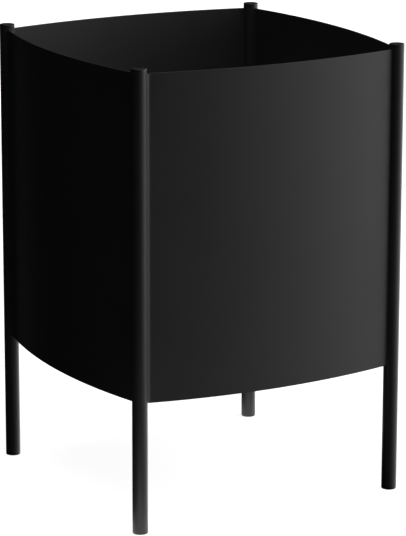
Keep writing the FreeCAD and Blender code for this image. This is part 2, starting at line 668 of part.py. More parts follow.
def make_rivet(side, end, level_name):
    """A domed rivet through a clip's flange and the liner's wall, with a set tail outside."""
    rivet = body(f"rivet_{side}_{end}_{level_name}")
    shank, head = "dims.rivet_diameter / 2", "dims.rivet_head_diameter / 2"
    grip = "(dims.clip_thickness + dims.liner_wall)"
    tail, set_end = f"-({grip} + dims.rivet_tail)", "dims.rivet_tail_diameter / 2"
    points = [("0", "dims.rivet_head_height"), (head, "dims.rivet_head_height"), (head, "0")]
    points += [(shank, "0"), (shank, f"-{grip}"), (set_end, f"-{grip}"), (set_end, tail)]
    points += [("0", tail)]
    profile = sketch_on(rivet, "XZ_Plane", f"rivet_profile_{side}_{end}_{level_name}")
    outline(profile, points)
    turned = revolve(rivet, profile)
    rim = level_at("dims.rivet_head_height")
    round_edges(rivet, turned, "dims.rivet_head_radius", rim, "dome")
    lean, sign = (QUARTER, "-") if side == "left" else (-QUARTER, "")
    rivet.Placement = Placement(Vector(0, 0, 0), Rotation(Vector(0, 1, 0), lean))
    along = "-" if end == "front" else ""
    way = "-" if level_name == "lower" else "+"
    rivet.setExpression(".Placement.Base.x", f"{sign}({LINER_INSIDE} - dims.clip_thickness)")
    rivet.setExpression(".Placement.Base.y", f"{along}{CLIP_PLACE}")
    height = f"{LINER_UNDER} + {PIVOT_HEIGHT} {way} {RIVET_OFFSET}"
    rivet.setExpression(".Placement.Base.z", height)
    return rivet


def group(label, members):
    """Identical fasteners as one node of separate solids."""
    made = doc.addObject("Part::Compound", label)
    made.Label = label
    made.Links = members
    return made


# ---------------------------------------------------------------- the whole bin


def build():
    parts = []
    for corner, k in CORNERS.items():
        parts += [make_leg(corner, k), make_cap(corner, k), make_glide(corner, k)]
        parts += [make_lug(corner, k), make_buffer(corner, k)]
    parts += [make_panel(side, k) for side, k in SIDES.items()]
    parts.append(make_floor_plate())
    parts.append(group("floor_screws", [make_floor_screw(c, k) for c, k in CORNERS.items()]))
    parts.append(group("floor_nuts", [make_floor_nut(c, k) for c, k in CORNERS.items()]))
    parts += [make_liner_walls(), make_liner_base(), make_liner_rim()]
    rivets = []
    for side in ("left", "right"):
        parts.append(make_handle(side))
        for end in ("front", "back"):
            parts.append(make_clip(side, end))
            rivets += [make_rivet(side, end, name) for name in ("lower", "upper")]
    parts.append(group("clip_rivets", rivets))
    return parts


def export(parts):
    """Checks every object and shape, then writes one STEP file for each piece."""
    doc.recompute()
    failed = [o.Name for o in doc.Objects if {"Invalid", "Error"} & set(o.State)]
    if failed:
        raise ValueError(f"objects that failed: {failed}")
    for part in parts:
        if part.Shape.isNull() or not part.Shape.isValid():
            raise ValueError(f"{part.Label} has no valid shape")
    os.makedirs("parts", exist_ok=True)
    for part in parts:
        part.Shape.exportStep(f"parts/{part.Label}.step")
        print(part.Label, len(part.Shape.Solids), "solids", round(part.Shape.Volume), "mm3")


export(build())
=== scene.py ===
"""Looks of an open-topped litter bin: bowed black panels between four tube legs, a screwed floor,
and a galvanised liner that lifts out by two drop handles."""
import math
from contextlib import contextmanager

import bmesh
import bpy
from mathutils import Matrix, Vector


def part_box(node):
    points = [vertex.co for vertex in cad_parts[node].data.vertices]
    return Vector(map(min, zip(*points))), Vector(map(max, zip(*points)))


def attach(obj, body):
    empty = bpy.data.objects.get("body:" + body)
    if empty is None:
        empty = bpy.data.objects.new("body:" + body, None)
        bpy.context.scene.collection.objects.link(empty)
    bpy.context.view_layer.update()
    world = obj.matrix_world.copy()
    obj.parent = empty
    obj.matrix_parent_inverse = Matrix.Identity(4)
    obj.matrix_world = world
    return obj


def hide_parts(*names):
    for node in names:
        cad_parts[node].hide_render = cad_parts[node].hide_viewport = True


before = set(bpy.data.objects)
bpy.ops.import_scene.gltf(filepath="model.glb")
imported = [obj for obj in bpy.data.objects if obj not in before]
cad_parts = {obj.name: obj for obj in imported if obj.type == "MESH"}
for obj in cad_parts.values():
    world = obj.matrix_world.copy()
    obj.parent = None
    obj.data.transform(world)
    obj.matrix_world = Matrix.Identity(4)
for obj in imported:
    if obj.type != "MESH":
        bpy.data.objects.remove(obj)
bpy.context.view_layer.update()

MM = 0.001
UP = Vector((0, 0, 1))
QUARTER = math.pi / 2
CORNERS = ("front_left", "front_right", "back_right", "back_left")
SIDES = ("front", "right", "back", "left")

# ---------------------------------------------------------------- sizes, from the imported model


def middle(node):
    """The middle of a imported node's box."""
    low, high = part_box(node)
    return (low + high) / 2


def extent(node):
    """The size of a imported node's box along each axis."""
    low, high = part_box(node)
    return high - low


LEG = middle("leg_front_left")
LEG_RADIUS = extent("leg_front_left").x / 2
TUBE_LOW, TUBE_HIGH = (corner.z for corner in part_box("leg_front_left"))
TUBE_WALL = 2 * MM
SHEET = 2 * MM
PANEL_LOW, PANEL_HIGH = (corner.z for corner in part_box("panel_front"))
HALF_SPACING = -LEG.x
BULGE = -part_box("panel_front")[0].y - SHEET / 2 - HALF_SPACING
ARC_RADIUS = (HALF_SPACING**2 + BULGE**2) / (2 * BULGE)
ARC_CENTRE = Vector((0, ARC_RADIUS - BULGE - HALF_SPACING, 0))
ARC_HALF_ANGLE = math.asin(HALF_SPACING / ARC_RADIUS)
LUG_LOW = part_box("lug_front_left")[0].z
LINER_LOW, LINER_HIGH = (corner.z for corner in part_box("liner_walls"))
LINER_HALF = extent("liner_walls").x / 2
LINER_CORNER = 42 * MM
LINER_SHEET = 1 * MM

# ---------------------------------------------------------------- modelling helpers


def activate(piece):
    """Selects only this piece and makes it the active one."""
    bpy.ops.object.select_all(action="DESELECT")
    piece.select_set(True)
    bpy.context.view_layer.objects.active = piece


def settle(piece):
    """Puts a piece's place, turn and size into its mesh."""
    activate(piece)
    bpy.ops.object.transform_apply(location=True, rotation=True, scale=True)


def start(kind, name, place=(0, 0, 0), size=(1, 1, 1), turn=(0, 0, 0), **shape):
    """Adds one of Blender's primitives at its size and place.

    A cube or plane starts one metre wide, so its size is its true width in metres.
    """
    bpy.ops.object.select_all(action="DESELECT")
    if kind in ("cube", "plane"):
        shape["size"] = 1
    getattr(bpy.ops.mesh, f"primitive_{kind}_add")(location=place, rotation=turn, **shape)
    piece = bpy.context.object
    piece.name = piece.data.name = name
    piece.scale = size
    settle(piece)
    return piece


@contextmanager
def editing(piece):
    """Edit mode on a piece, with nothing selected to begin with."""
    activate(piece)
    bpy.ops.object.mode_set(mode="EDIT")
    bpy.ops.mesh.select_all(action="DESELECT")
    yield piece
    bpy.ops.object.mode_set(mode="OBJECT")


def pick(piece, kind, test):
    """In edit mode, selects only the faces, edges or points that the test picks."""
    bpy.ops.mesh.select_mode(type=kind)
    bpy.ops.mesh.select_all(action="DESELECT")
    mesh = bmesh.from_edit_mesh(piece.data)
    elements = {"FACE": mesh.faces, "EDGE": mesh.edges, "VERT": mesh.verts}[kind]
    found = [element for element in elements if test(element)]
    if not found:
        raise ValueError(f"nothing to select on {piece.name}")
    for element in found:
        element.select_set(True)
    mesh.select_flush_mode()
    bmesh.update_edit_mesh(piece.data)


def all_points(test):
    """A test for an edge or face whose points all pass a test of their place."""
    return lambda element: all(test(v.co) for v in element.verts)


def extrude(step):
    """Extrudes what is selected by one straight step."""
    bpy.ops.mesh.extrude_region_move(TRANSFORM_OT_translate={"value": tuple(step)})


def spin(angle, centre, steps, axis=UP):
    """Sweeps what is selected round an axis, by the right-hand rule.

    Without a window Blender turns the other way, so the angle goes in with its sign changed.
    """
    bpy.ops.mesh.spin(steps=steps, angle=-angle, center=tuple(centre), axis=tuple(axis))


def clean(piece, smallest=0.002 * MM):
    """Merges doubled points and turns every face outwards."""
    with editing(piece):
        bpy.ops.mesh.select_all(action="SELECT")
        bpy.ops.mesh.remove_doubles(threshold=smallest)
        bpy.ops.mesh.normals_make_consistent(inside=False)
    return piece


def smooth_below(piece, degrees):
    """Shades a piece smooth, but for its edges sharper than an angle."""
    activate(piece)
    bpy.ops.object.shade_smooth_by_angle(angle=math.radians(degrees))


def modify(piece, kind, **settings):
    """Adds a modifier with its settings and applies it."""
    activate(piece)
    made = piece.modifiers.new(kind.lower(), kind)
    for name, value in settings.items():
        setattr(made, name, value)
    bpy.ops.object.modifier_apply(modifier=made.name)
    return piece


def soften(piece, width, segments=2):
    """Rounds the edges sharper than 30 degrees and keeps the broad faces' shading even."""
    activate(piece)
    bpy.ops.object.shade_smooth()
    modify(
        piece,
        "BEVEL",
        width=width,
        segments=segments,
        limit_method="ANGLE",
        angle_limit=math.radians(30),
    )
    return modify(piece, "WEIGHTED_NORMAL", weight=100, keep_sharp=False)


def turn_about(piece, centre, angle):
    """Turns a piece about an upright line through a point."""
    move = Matrix.Translation(Vector(centre))
    turn = move @ Matrix.Rotation(angle, 4, "Z") @ move.inverted()
    piece.matrix_world = turn @ piece.matrix_world
    settle(piece)
    return piece


def copy_of(piece, name):
    """A copy of a piece with its own mesh."""
    made = piece.copy()
    made.data = piece.data.copy()
    made.name = made.data.name = name
    bpy.context.scene.collection.objects.link(made)
    return made


def joined(pieces, name):
    """All the pieces as one, in the first one's place."""
    bpy.ops.object.select_all(action="DESELECT")
    for piece in pieces:
        piece.select_set(True)
    bpy.context.view_layer.objects.active = pieces[0]
    bpy.ops.object.join()
    pieces[0].name = pieces[0].data.name = name
    return pieces[0]


def four_times(piece, stem, ends):
    """The piece and three copies of it, each a quarter turn further round the bin."""
    piece.name = piece.data.name = f"{stem}_{ends[0]}"
    made = [piece]
    for k, end in enumerate(ends[1:], start=1):
        made.append(turn_about(copy_of(piece, f"{stem}_{end}"), (0, 0, 0), k * QUARTER))
    return made


def turned(name, place, profile, sides):
    """A round piece about an upright axis: rows of radius and height, one after the other."""
    radius, height = profile[0]
    spot = Vector((place[0], place[1], height))
    piece = start("circle", name, spot, vertices=sides, radius=radius, fill_type="NGON")
    with editing(piece):
        bpy.ops.mesh.select_all(action="SELECT")
        for next_radius, next_height in profile[1:]:
            extrude((0, 0, next_height - height))
            ratio = next_radius / radius
            bpy.ops.transform.resize(value=(ratio, ratio, 1), center_override=tuple(spot))
            radius, height = next_radius, next_height
    return clean(piece)


def square_sweep(name, section_radius, half, corner, height, sides=12, steps=10):
    """A round bar swept round a square with round corners."""
    place = (half, -half + corner, height)
    turn = (QUARTER, 0, 0)
    piece = start("circle", name, place, turn=turn, vertices=sides, radius=section_radius)
    way, at = Vector((0, 1, 0)), Vector(place)
    with editing(piece):
        bpy.ops.mesh.select_all(action="SELECT")
        for _ in range(4):
            extrude(way * (2 * (half - corner)))
            at += way * (2 * (half - corner))
            inward = Vector((-way.y, way.x, 0))
            spin(QUARTER, at + inward * corner, steps=steps)
            at += (way + inward) * corner
            way = inward
    return clean(piece, 0.02 * MM)


def dressed_copy(node, name, edge_radius):
    """A clean copy of a CAD node with its small edge rounding added."""
    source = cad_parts[node]
    made = bpy.data.objects.new(name, source.data.copy())
    made.data.name = name
    bpy.context.scene.collection.objects.link(made)
    made.data.materials.clear()
    activate(made)
    with editing(made):
        bpy.ops.mesh.select_all(action="SELECT")
        bpy.ops.mesh.remove_doubles(threshold=0.002 * MM)
        bpy.ops.mesh.customdata_custom_splitnormals_clear()
        bpy.ops.mesh.dissolve_limited(angle_limit=math.radians(0.5))
    return soften(made, edge_radius)


# ---------------------------------------------------------------- materials


def linear(hex_colour):
    """The linear colour of an sRGB hex value."""
    colour = []
    for start_digit in (1, 3, 5):
        channel = int(hex_colour[start_digit : start_digit + 2], 16) / 255
        colour.append(channel / 12.92 if channel <= 0.04045 else ((channel + 0.055) / 1.055) ** 2.4)
    return colour + [1.0]


def add(tree, kind, output=None, inputs=None, **settings):
    """Adds a node with its settings and gives back one of its outputs, or the node itself.

    Each input is given a value, or the output of another node.
    """
    node = tree.nodes.new(f"ShaderNode{kind}")
    for name, value in settings.items():
        setattr(node, name, value)
    for name, value in (inputs or {}).items():
        if isinstance(value, bpy.types.NodeSocket):
            tree.links.new(value, node.inputs[name])
        else:
            node.inputs[name].default_value = value
    return node if output is None else node.outputs[output]


def surface(name, **constants):
    """A new material: its node tree and its shader, with the constant values set on the shader."""
    material = bpy.data.materials.new(name)
    material.use_nodes = True
    tree = material.node_tree
    tree.nodes.clear()
    inputs = {socket.replace("_", " "): value for socket, value in constants.items()}
    shader = add(tree, "BsdfPrincipled", inputs=inputs)
    add(tree, "OutputMaterial", inputs={"Surface": shader.outputs["BSDF"]})
    return material, tree, shader


def connect(tree, shader, colour, roughness, normal):
    """Links what varies over the surface to the shader."""
    tree.links.new(colour, shader.inputs["Base Color"])
    tree.links.new(roughness, shader.inputs["Roughness"])
    tree.links.new(normal, shader.inputs["Normal"])


def powder_coat():
    """Polyester powder coat, satin black, sprayed and baked on steel.

    It gives a deep black with a broad soft sheen, a faint orange peel that breaks the sheen up,
    slow changes in how dull it is, and a thin film of grey dust on what faces up.
    """
    material, tree, shader = surface("powder_coated_steel_satin_black", Metallic=0.0, IOR=1.5)
    place = add(tree, "TexCoord", "Object")
    inputs = {"Vector": place, "Scale": 1 / (140 * MM), "Detail": 3.0}
    cloud = add(tree, "TexNoise", "Fac", inputs)
    inputs = {"Vector": place, "Scale": 1 / (22 * MM), "Detail": 4.0, "Roughness": 0.6}
    handling = add(tree, "TexNoise", "Fac", inputs)
    # Real orange peel has cells of 1 to 2 mm; 3 mm is the finest that shows.
    peel = add(tree, "TexNoise", "Fac", {"Vector": place, "Scale": 1 / (3 * MM), "Detail": 1.0})

    cloudy = add(tree, "MapRange", "Result", {"Value": cloud, "From Min": 0.3, "From Max": 0.7})
    inputs = {0: cloudy, 6: linear("#212122"), 7: linear("#252526")}
    coat = add(tree, "Mix", 2, inputs, data_type="RGBA")

    # Dust lies on faces that look up, more of it where nobody has wiped it off.
    facing = add(tree, "NewGeometry", "Normal")
    height = add(tree, "SeparateXYZ", "Z", {"Vector": facing})
    inputs = {"Value": height, "From Min": 0.6, "From Max": 0.98}
    upward = add(tree, "MapRange", "Result", inputs)
    inputs = {"Value": handling, "From Min": 0.35, "From Max": 0.75, "To Min": 0.1, "To Max": 0.5}
    left = add(tree, "MapRange", "Result", inputs)
    dust = add(tree, "Math", "Value", {0: upward, 1: left}, operation="MULTIPLY")
    film = add(tree, "Math", "Value", {0: dust, 1: 0.3}, operation="MULTIPLY")
    colour = add(tree, "Mix", 2, {0: film, 6: coat, 7: linear("#3a3936")}, data_type="RGBA")

    inputs = {"Value": cloud, "From Min": 0.3, "From Max": 0.7, "To Min": 0.47, "To Max": 0.52}
    dull = add(tree, "MapRange", "Result", inputs)
    inputs = {"Value": handling, "From Min": 0.3, "From Max": 0.7, "To Min": -0.02, "To Max": 0.03}
    touched = add(tree, "MapRange", "Result", inputs)
    roughness = add(tree, "Math", "Value", {0: dull, 1: touched}, operation="ADD")

    inputs = {"Height": peel, "Distance": 0.02 * MM, "Strength": 1.0}
    connect(tree, shader, colour, roughness, add(tree, "Bump", "Normal", inputs))
    return material


def moulded_polyethylene():
    """Low-density polyethylene, black, injection moulded with a fine spark-eroded texture.

    It gives a soft grey sheen, a fine even grain, and scuffs where it touches the ground.
    """
    material, tree, shader = surface("moulded_polyethylene_black", Metallic=0.0, IOR=1.51)
    place = add(tree, "TexCoord", "Object")
    # The real grain is 0.1 to 0.2 mm; 0.8 mm is the finest that shows.
    grain = add(tree, "TexNoise", "Fac", {"Vector": place, "Scale": 1 / (0.8 * MM), "Detail": 2.0})
    inputs = {"Vector": place, "Scale": 1 / (5 * MM), "Detail": 5.0, "Roughness": 0.7}
    scuff = add(tree, "TexNoise", "Fac", inputs)

    height = add(tree, "SeparateXYZ", "Z", {"Vector": place})
    inputs = {"Value": height, "From Min": 0.0, "From Max": 3 * MM, "To Min": 1.0, "To Max": 0.0}
    low_down = add(tree, "MapRange", "Result", inputs)
    scuffed = add(tree, "MapRange", "Result", {"Value": scuff, "From Min": 0.45, "From Max": 0.6})
    worn = add(tree, "Math", "Value", {0: low_down, 1: scuffed}, operation="MULTIPLY")
    part = add(tree, "Math", "Value", {0: worn, 1: 0.6}, operation="MULTIPLY")
    inputs = {0: part, 6: linear("#0b0b0c"), 7: linear("#2b2a28")}
    colour = add(tree, "Mix", 2, inputs, data_type="RGBA")

    inputs = {"Value": scuff, "From Min": 0.3, "From Max": 0.7, "To Min": 0.36, "To Max": 0.44}
    roughness = add(tree, "MapRange", "Result", inputs)

    inputs = {"Height": grain, "Distance": 0.015 * MM, "Strength": 1.0}
    connect(tree, shader, colour, roughness, add(tree, "Bump", "Normal", inputs))
    return material


def moulded_rubber():
    """Natural rubber, black, compression moulded.

    It gives a dry matt black with a grey bloom.
    """
    material, tree, shader = surface("moulded_rubber_black", Metallic=0.0, IOR=1.52)
    place = add(tree, "TexCoord", "Object")
    inputs = {"Vector": place, "Scale": 1 / (6 * MM), "Detail": 5.0, "Roughness": 0.65}
    bloom = add(tree, "TexNoise", "Fac", inputs)
    # The mould's own grain is about 0.1 mm; 0.7 mm is the finest that shows.
    grain = add(tree, "TexNoise", "Fac", {"Vector": place, "Scale": 1 / (0.7 * MM), "Detail": 2.0})

    bloomed = add(tree, "MapRange", "Result", {"Value": bloom, "From Min": 0.4, "From Max": 0.75})
    inputs = {0: bloomed, 6: linear("#121212"), 7: linear("#242322")}
    colour = add(tree, "Mix", 2, inputs, data_type="RGBA")

    inputs = {"Value": bloom, "From Min": 0.3, "From Max": 0.7, "To Min": 0.68, "To Max": 0.82}
    roughness = add(tree, "MapRange", "Result", inputs)

    inputs = {"Height": grain, "Distance": 0.03 * MM, "Strength": 1.0}
    connect(tree, shader, colour, roughness, add(tree, "Bump", "Normal", inputs))
    return material


def galvanised_steel(name, spangle):
    """Steel, hot-dip galvanised, then weathered for a season.

    It gives zinc crystals, each one spangle wide with its own grey and its own gloss, and a dull
    white film in patches. The film is an oxide, so the whole is only part metallic and chalky.
    """
    material, tree, shader = surface(name, Metallic=0.6)
    place = add(tree, "TexCoord", "Object")

    # A crystal's edges are bent by up to 0.4 of its width.
    inputs = {"Vector": place, "Scale": 1 / (6 * MM), "Detail": 2.0}
    wobble = add(tree, "TexNoise", "Color", inputs)
    inputs = {0: wobble, 1: (0.4 * spangle,) * 3, 2: place}
    bent = add(tree, "VectorMath", "Vector", inputs, operation="MULTIPLY_ADD")
    crystal = add(tree, "TexVoronoi", "Color", {"Vector": bent, "Scale": 1 / spangle})
    tone = add(tree, "SeparateColor", inputs={"Color": crystal})
    inputs = {0: tone.outputs["Red"], 6: linear("#8d9194"), 7: linear("#b4b8ba")}
    zinc = add(tree, "Mix", 2, inputs, data_type="RGBA")

    inputs = {"Vector": place, "Scale": 1 / (60 * MM), "Detail": 5.0, "Roughness": 0.65}
    film = add(tree, "TexNoise", "Fac", inputs)
    filmed = add(tree, "MapRange", "Result", {"Value": film, "From Min": 0.48, "From Max": 0.72})
    oxide = add(tree, "Math", "Value", {0: filmed, 1: 0.45}, operation="MULTIPLY")
    colour = add(tree, "Mix", 2, {0: oxide, 6: zinc, 7: linear("#a3a5a4")}, data_type="RGBA")

    green = tone.outputs["Green"]
    inputs = {"Value": green, "From Min": 0, "From Max": 1, "To Min": 0.34, "To Max": 0.50}
    gloss = add(tree, "MapRange", "Result", inputs)
    chalk = add(tree, "Math", "Value", {0: oxide, 1: 0.4}, operation="MULTIPLY")
    roughness = add(tree, "Math", "Value", {0: gloss, 1: chalk}, operation="ADD")

    inputs = {"Height": tone.outputs["Blue"], "Distance": 0.012 * MM, "Strength": 1.0}
    connect(tree, shader, colour, roughness, add(tree, "Bump", "Normal", inputs))
    return material


def zinc_plate():
    """Steel wire and fasteners, bright zinc plated and passivated.

    It gives a clean bluish grey with a faint fine grain and duller patches.
    """
    material, tree, shader = surface("zinc_plated_steel", Metallic=1.0)
    place = add(tree, "TexCoord", "Object")
    inputs = {"Vector": place, "Scale": 1 / (8 * MM), "Detail": 4.0, "Roughness": 0.6}
    patch = add(tree, "TexNoise", "Fac", inputs)
    # The plate's grain is far finer than 0.1 mm; 0.9 mm is the finest that shows.
    fine = add(tree, "TexNoise", "Fac", {"Vector": place, "Scale": 1 / (0.9 * MM), "Detail": 2.0})

    patched = add(tree, "MapRange", "Result", {"Value": patch, "From Min": 0.35, "From Max": 0.7})
    inputs = {0: patched, 6: linear("#b9bdc2"), 7: linear("#9b9fa3")}
    colour = add(tree, "Mix", 2, inputs, data_type="RGBA")

    inputs = {"Value": patch, "From Min": 0.3, "From Max": 0.7, "To Min": 0.24, "To Max": 0.36}
    roughness = add(tree, "MapRange", "Result", inputs)

    inputs = {"Height": fine, "Distance": 0.01 * MM, "Strength": 1.0}
    connect(tree, shader, colour, roughness, add(tree, "Bump", "Normal", inputs))
    return material


def rivet_aluminium():
    """Aluminium alloy, cold headed.

    It gives a pale, soft grey, slightly uneven from the punch.
    """
    material, tree, shader = surface("aluminium_rivet", Metallic=1.0)
    place = add(tree, "TexCoord", "Object")
    inputs = {"Vector": place, "Scale": 1 / (3 * MM), "Detail": 4.0, "Roughness": 0.6}
    patch = add(tree, "TexNoise", "Fac", inputs)

    patched = add(tree, "MapRange", "Result", {"Value": patch, "From Min": 0.35, "From Max": 0.7})
    inputs = {0: patched, 6: linear("#cfd0d1"), 7: linear("#b3b4b5")}
    colour = add(tree, "Mix", 2, inputs, data_type="RGBA")

    inputs = {"Value": patch, "From Min": 0.3, "From Max": 0.7, "To Min": 0.30, "To Max": 0.44}
    roughness = add(tree, "MapRange", "Result", inputs)

    inputs = {"Height": patch, "Distance": 0.02 * MM, "Strength": 1.0}
    connect(tree, shader, colour, roughness, add(tree, "Bump", "Normal", inputs))
    return material


COAT = powder_coat()
PLASTIC = moulded_polyethylene()
RUBBER = moulded_rubber()
GALVANISED = galvanised_steel("galvanised_steel_sheet", spangle=9 * MM)
# Small parts dipped after welding cool faster, so their crystals are finer.
GALVANISED_BAR = galvanised_steel("galvanised_steel_bar", spangle=4 * MM)
ZINC = zinc_plate()
ALUMINIUM = rivet_aluminium()


def finish_piece(piece, material, slot, body, *nodes):
    """Gives a piece its material and its body, and hides the CAD nodes that it stands for."""
    piece.data.materials.clear()
    piece.data.materials.append(material)
    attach(piece, body)
    if nodes:
        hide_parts(*nodes)


# ---------------------------------------------------------------- casing

PLUG_DEPTH = 16 * MM
PLUG_CLEARANCE = 0.1 * MM
PLUG_WALL = 1.6 * MM
RIB_HEIGHT, RIB_WIDTH = 0.6 * MM, 1.6 * MM
# The panel's edge runs this far into the tube's round, as it does once it is welded.
PANEL_BITE = 0.7 * MM
# The hollow of the fillet weld at each end of a panel, seen from outside.
WELD_HOLLOWS = ((6.4 * MM, "left"), (2.0 * MM, "right"))


def model_leg_tube():
    """Round tube, cut square, with the burr taken off both ends."""
    height = TUBE_HIGH - TUBE_LOW
    place = (LEG.x, LEG.y, (TUBE_LOW + TUBE_HIGH) / 2)
    tube = start(
        "cylinder",
        "tube",
        place,
        vertices=96,
        radius=LEG_RADIUS,
        depth=height,
        end_fill_type="NOTHING",
    )
    modify(tube, "SOLIDIFY", thickness=TUBE_WALL, offset=-1.0, use_even_offset=True)
    return soften(tube, 0.2 * MM)


def model_plug(name, seat, way, head):
    """A ribbed plug about the front left leg: its head shows, its hollow stem is in the tube."""
    rib = LEG_RADIUS - TUBE_WALL - PLUG_CLEARANCE
    stem = rib - RIB_HEIGHT
    bore = stem - PLUG_WALL
    rows = [(bore, -1 * MM), (bore, -PLUG_DEPTH), (stem, -PLUG_DEPTH)]
    for i in (2, 1, 0):
        top = -(2 * i + 1) * RIB_WIDTH
        rows += [(stem, top - RIB_WIDTH), (rib, top), (stem, top)]
    rows += [(stem, 0), (LEG_RADIUS, 0), (LEG_RADIUS, head)]
    rows += [(0.55 * LEG_RADIUS, head), (0.5 * LEG_RADIUS, head - 0.15 * MM)]
    plug = turned(name, LEG, [(radius, seat + way * z) for radius, z in rows], sides=96)
    face = seat + way * head

    def on_rim(place):
        return abs(place.z - face) < 0.01 * MM and (place.xy - LEG.xy).length > 0.9 * LEG_RADIUS

    with editing(plug):
        pick(plug, "EDGE", all_points(on_rim))
        bpy.ops.mesh.bevel(offset=0.9 * MM, segments=4, affect="EDGES")
    smooth_below(plug, 35)
    return plug


def model_sheet():
    """One rolled panel: the sheet's cut end, spun about the arc's centre from leg to leg."""
    reach = ARC_HALF_ANGLE - (LEG_RADIUS - PANEL_BITE) / ARC_RADIUS
    height = PANEL_HIGH - PANEL_LOW
    place = (0, ARC_CENTRE.y - ARC_RADIUS, (PANEL_LOW + PANEL_HIGH) / 2)
    size = (height, SHEET, 1)
    sheet = start("plane", "sheet", place, size=size, turn=(0, QUARTER, 0))
    turn_about(sheet, ARC_CENTRE, -reach)
    with editing(sheet):
        bpy.ops.mesh.select_all(action="SELECT")
        spin(2 * reach, ARC_CENTRE, steps=80)
    clean(sheet)
    return soften(sheet, 0.4 * MM, segments=3)


def rippled(bead, name, wide, deep):
    """Makes a weld bead gently uneven and shades it."""
    ripple = bpy.data.textures.new(name, "CLOUDS")
    ripple.noise_scale = wide
    modify(bead, "DISPLACE", texture=ripple, texture_coords="LOCAL", strength=deep, mid_level=0.5)
    smooth_below(bead, 60)
    return bead


def model_bead(name, hollow):
    """A weld up the left end of the front panel, outside: hollow to a radius, gently uneven."""
    low, high = PANEL_LOW + 1.0 * MM, PANEL_HIGH - 1.0 * MM
    # Where a hollow of this radius touches the sheet and the tube.
    reach = math.sqrt((LEG_RADIUS + hollow) ** 2 - (SHEET / 2 + hollow) ** 2)
    share = LEG_RADIUS / (LEG_RADIUS + hollow)
    climb = share * (SHEET / 2 + hollow) - SHEET / 2
    run = reach - share * reach
    front, root = SHEET / 2 + climb, 2 * MM
    middle_height = (low + high) / 2
    place = (LEG.x + reach - (climb + root) / 2, LEG.y - (front + SHEET / 4) / 2, middle_height)
    bead = start("cube", name, place, size=(climb + root, front - SHEET / 4, high - low))
    corner = Vector((LEG.x + reach, LEG.y - front))
    with editing(bead):
        pick(bead, "EDGE", all_points(lambda p: (p.xy - corner).length < 0.1 * MM))
        bpy.ops.mesh.bevel(offset=0.98 * climb, segments=8, profile=0.11, affect="EDGES")
        # The hollow runs further along the sheet than it climbs.
        bpy.ops.mesh.select_all(action="SELECT")
        bpy.ops.transform.resize(
            value=(run / climb, 1, 1), center_override=(*corner, middle_height)
        )
        pick(bead, "EDGE", lambda e: abs(e.verts[0].co.z - e.verts[1].co.z) > 100 * MM)
        bpy.ops.mesh.subdivide(number_cuts=150)
    clean(bead)
    return rippled(bead, "weld_ripple", 6 * MM, 0.3 * MM)


def model_panel_welds():
    """The four beads of the front panel: a full one at its left end, a thin one at its right."""
    beads = []
    for hollow, end in WELD_HOLLOWS:
        outside = model_bead(f"bead_{end}", hollow)
        inside = copy_of(outside, f"bead_inside_{end}")
        inside.scale.y = -1
        inside.location.y = 2 * LEG.y
        settle(inside)
        clean(inside)
        for bead in (outside, inside):
            turn_about(bead, LEG, -ARC_HALF_ANGLE)
            if end == "right":
                bead.scale.x = -1
                settle(bead)
                clean(bead)
            beads.append(bead)
    return joined(beads, "panel_welds")


def model_lug_weld():
    """A bead round the leg under its lug."""
    radius = LEG_RADIUS + 0.5 * MM
    half = math.radians(50)
    place = (LEG.x + radius, LEG.y, LUG_LOW - 0.3 * MM)
    bead = start(
        "circle",
        "lug_weld",
        place,
        turn=(QUARTER, 0, 0),
        vertices=12,
        radius=2.3 * MM,
        fill_type="NGON",
    )
    turn_about(bead, LEG, math.radians(45) - half)
    with editing(bead):
        bpy.ops.mesh.select_all(action="SELECT")
        spin(2 * half, LEG, steps=40)
    clean(bead)
    return rippled(bead, "lug_weld_ripple", 2.5 * MM, 0.5 * MM)


def build_casing():
    """Legs with their plugs, bowed panels, lugs, welds and the floor sheet."""
    coat = (COAT, "coated_steel", "casing")
    plastic = (PLASTIC, "black_plastic", "casing")
    for tube, corner in zip(four_times(model_leg_tube(), "tube", CORNERS), CORNERS):
        finish_piece(tube, *coat, f"leg_{corner}")
    cap_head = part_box("cap_front_left")[1].z - TUBE_HIGH
    caps = four_times(model_plug("cap", TUBE_HIGH, 1, cap_head), "top_plug", CORNERS)
    for cap, corner in zip(caps, CORNERS):
        finish_piece(cap, *plastic, f"cap_{corner}")
    glides = four_times(model_plug("glide", TUBE_LOW, -1, TUBE_LOW), "foot_plug", CORNERS)
    for glide, corner in zip(glides, CORNERS):
        finish_piece(glide, *plastic, f"glide_{corner}")
    for sheet, side in zip(four_times(model_sheet(), "sheet", SIDES), SIDES):
        finish_piece(sheet, *coat, f"panel_{side}")
    for welds in four_times(model_panel_welds(), "sheet_welds", SIDES):
        finish_piece(welds, *coat)
    for bead in four_times(model_lug_weld(), "lug_weld", CORNERS):
        finish_piece(bead, *coat)
    lug = dressed_copy("lug_front_left", "lug_plate", 0.4 * MM)
    for made, corner in zip(four_times(lug, "lug_plate", CORNERS), CORNERS):
        finish_piece(made, *coat, f"lug_{corner}")
    finish_piece(dressed_copy("floor_plate", "floor_sheet", 0.3 * MM), *coat, "floor_plate")


# ---------------------------------------------------------------- floor fasteners and buffers


